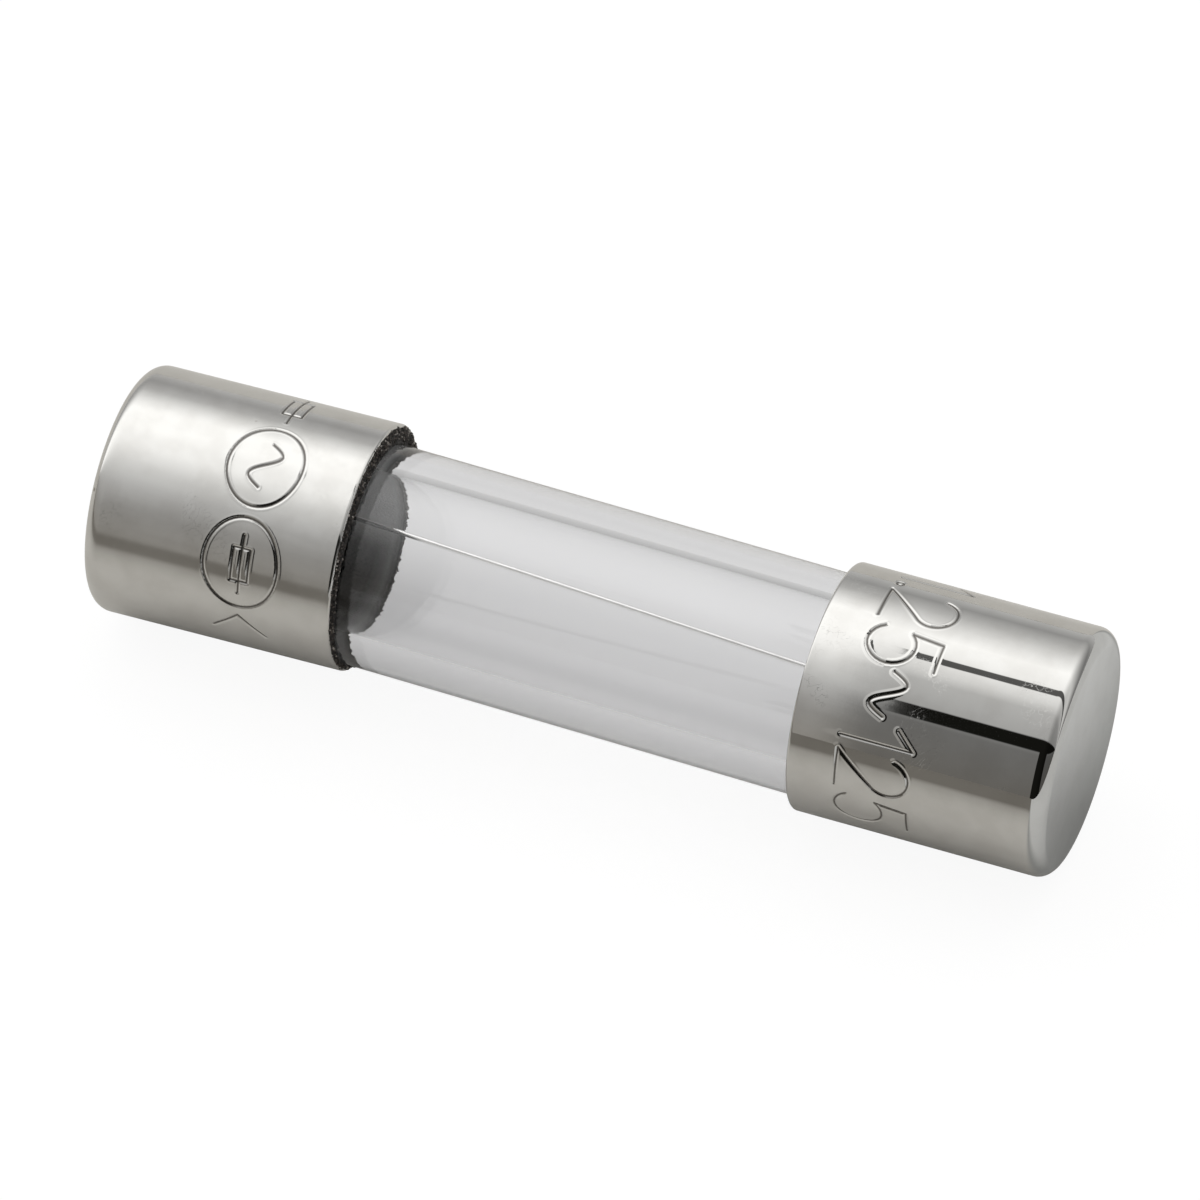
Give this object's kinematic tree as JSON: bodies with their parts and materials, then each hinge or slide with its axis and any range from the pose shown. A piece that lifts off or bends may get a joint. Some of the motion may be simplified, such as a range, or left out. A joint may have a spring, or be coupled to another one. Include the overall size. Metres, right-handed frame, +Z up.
{
  "type": "glass cartridge fuse",
  "caption": "Small glass tube fuse with plated metal end caps and a fine straight wire between them that melts when the current is too high.",
  "frame": {"origin": "middle of the fuse: halfway along its length, on the axis of the glass tube", "axes": "+X along the tube from the left cap to the right cap, +Z up with the fuse lying on its side, +Y to the back"},
  "size_m": [0.0201, 0.0051, 0.0051],
  "materials": {
    "end_cap": "bright nickel plate over brass, lightly scuffed",
    "tube_glass": "clear drawn glass, fire-polished ends",
    "fuse_wire": "silvered copper alloy wire, bright",
    "solder": "dull tin solder, cast surface",
    "cement": "dark granular capping cement, matte"
  },
  "bodies": {
    "root": {"glass_tube": "tube_glass", "fuse_wire": "fuse_wire", "left_cap": "end_cap", "left_solder": "solder", "left_cement": "cement", "right_cap": "end_cap", "right_solder": "solder", "right_cement": "cement"}
  },
  "joints": []
}
